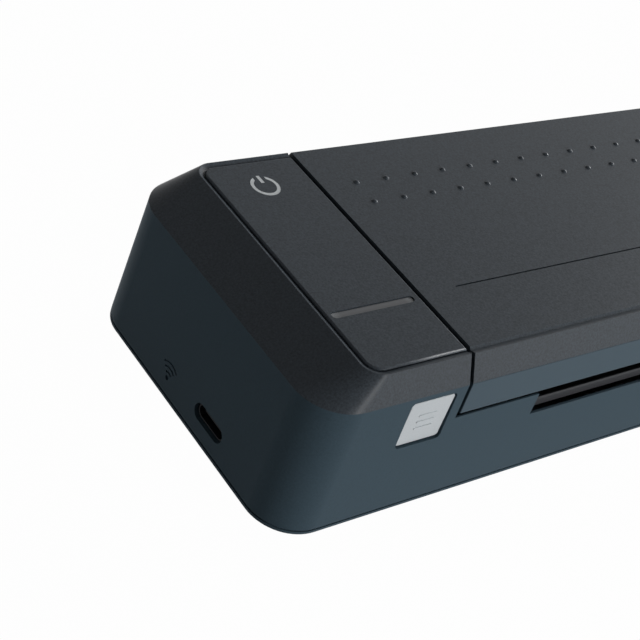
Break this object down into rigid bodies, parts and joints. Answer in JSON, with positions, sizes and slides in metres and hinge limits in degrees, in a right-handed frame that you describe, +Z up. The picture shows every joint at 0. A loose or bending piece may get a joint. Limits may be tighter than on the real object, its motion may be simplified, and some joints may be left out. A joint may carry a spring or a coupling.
{
  "type": "a4 portable thermal printer",
  "caption": "Slim page-width thermal printer: slate housing, hinged graphite top cover over platen and print head, end panel with power sign and light bar, front release button.",
  "frame": {"origin": "centre of the footprint, on the surface the feet stand on", "axes": "+X along the length with the control panel at -X, -Y is the front with the paper exit and the release button, +Z up"},
  "size_m": [0.31, 0.0692, 0.037],
  "materials": {
    "housing_slate": "fine moulded texture, slate grey",
    "top_graphite": "satin graphite paint with a fine metallic grain",
    "button_silver": "satin silver",
    "sign_ink": "pale grey inlay",
    "light_window": "smoked diffuser",
    "led_white": "clear resin",
    "foot_rubber": "matte black",
    "platen_rubber": "ground, matte",
    "steel": "zinc plated or bright steel",
    "black_plastic": "moulded black",
    "board_green": "solder mask",
    "cell_wrap": "shrink sleeve",
    "lead_red": "insulated wire",
    "flat_lead": "flat flexible lead",
    "bush_bronze": "sintered bronze",
    "gear_acetal": "natural acetal",
    "head_ceramic": "glazed ceramic",
    "sink_aluminium": "extruded"
  },
  "bodies": {
    "base": {"base_housing": "housing_slate", "bottom_cover": "housing_slate", "rubber_feet": "foot_rubber", "bottom_screws": "steel", "left_top_shell": "top_graphite", "right_top_shell": "top_graphite", "control_panel": "top_graphite", "blank_panel": "top_graphite", "power_symbol": "sign_ink", "light_bar_window": "light_window", "key_board": "board_green", "status_leds": "led_white", "power_switch": "black_plastic", "main_board": "board_green", "board_screws": "steel", "usb_c_receptacle": "steel", "battery_cells": "cell_wrap", "battery_cradle": "black_plastic", "battery_leads": "lead_red", "chassis_tray": "steel", "left_side_frame": "steel", "right_side_frame": "steel", "platen_bushes": "bush_bronze", "paper_deck": "black_plastic", "deck_screws": "steel", "paper_guide_bar": "top_graphite", "paper_sensor": "black_plastic", "cover_switch": "black_plastic", "drive_motor": "steel", "motor_screws": "steel", "motor_cable": "flat_lead", "idler_shaft": "steel", "hinge_pins": "steel", "button_spring": "steel"},
    "lid": {"lid_cover": "top_graphite", "lid_frame": "housing_slate", "lid_screws": "steel", "print_head": "head_ceramic", "head_heat_sink": "sink_aluminium", "head_springs": "steel", "head_brackets": "steel", "head_flex": "flat_lead"},
    "button": {"push_button": "button_silver", "latch_slider": "black_plastic"},
    "power_key": {"power_plunger": "black_plastic"},
    "platen": {"platen_roller": "platen_rubber", "platen_shaft": "steel", "platen_gear": "gear_acetal"},
    "idler": {"idler_gear": "gear_acetal"},
    "rotor": {"motor_shaft": "steel", "motor_pinion": "gear_acetal"}
  },
  "joints": [
    {"name": "lid_hinge", "type": "hinge", "parent": "base", "child": "lid", "pos_m": [0, 0.0287, 0.0286], "axis": [-1, 0, 0], "range_deg": [0, 75]},
    {"name": "button_press", "type": "slide", "parent": "base", "child": "button", "axis": [0, 1, 0], "range_m": [0, 0.0015], "stiffness_N_per_m": 400, "springref_m": -0.002, "deforming": ["button_spring"]},
    {"name": "power_press", "type": "slide", "parent": "base", "child": "power_key", "axis": [0, 0, -1], "range_m": [0, 0.00025], "stiffness_N_per_m": 600, "springref_m": -0.0004},
    {"name": "platen_spin", "type": "hinge", "parent": "base", "child": "platen", "pos_m": [0, -0.0208, 0.0168], "axis": [1, 0, 0], "continuous": true},
    {"name": "idler_spin", "type": "hinge", "parent": "base", "child": "idler", "pos_m": [0, -0.0098, 0.012], "axis": [1, 0, 0], "continuous": true},
    {"name": "pinion_spin", "type": "hinge", "parent": "base", "child": "rotor", "pos_m": [0, 0.00017, 0.0112], "axis": [1, 0, 0], "continuous": true}
  ],
  "couplings": [
    {"joint": "idler_spin", "follows": "platen_spin", "ratio": -0.71429},
    {"joint": "pinion_spin", "follows": "platen_spin", "ratio": 1.6667}
  ]
}
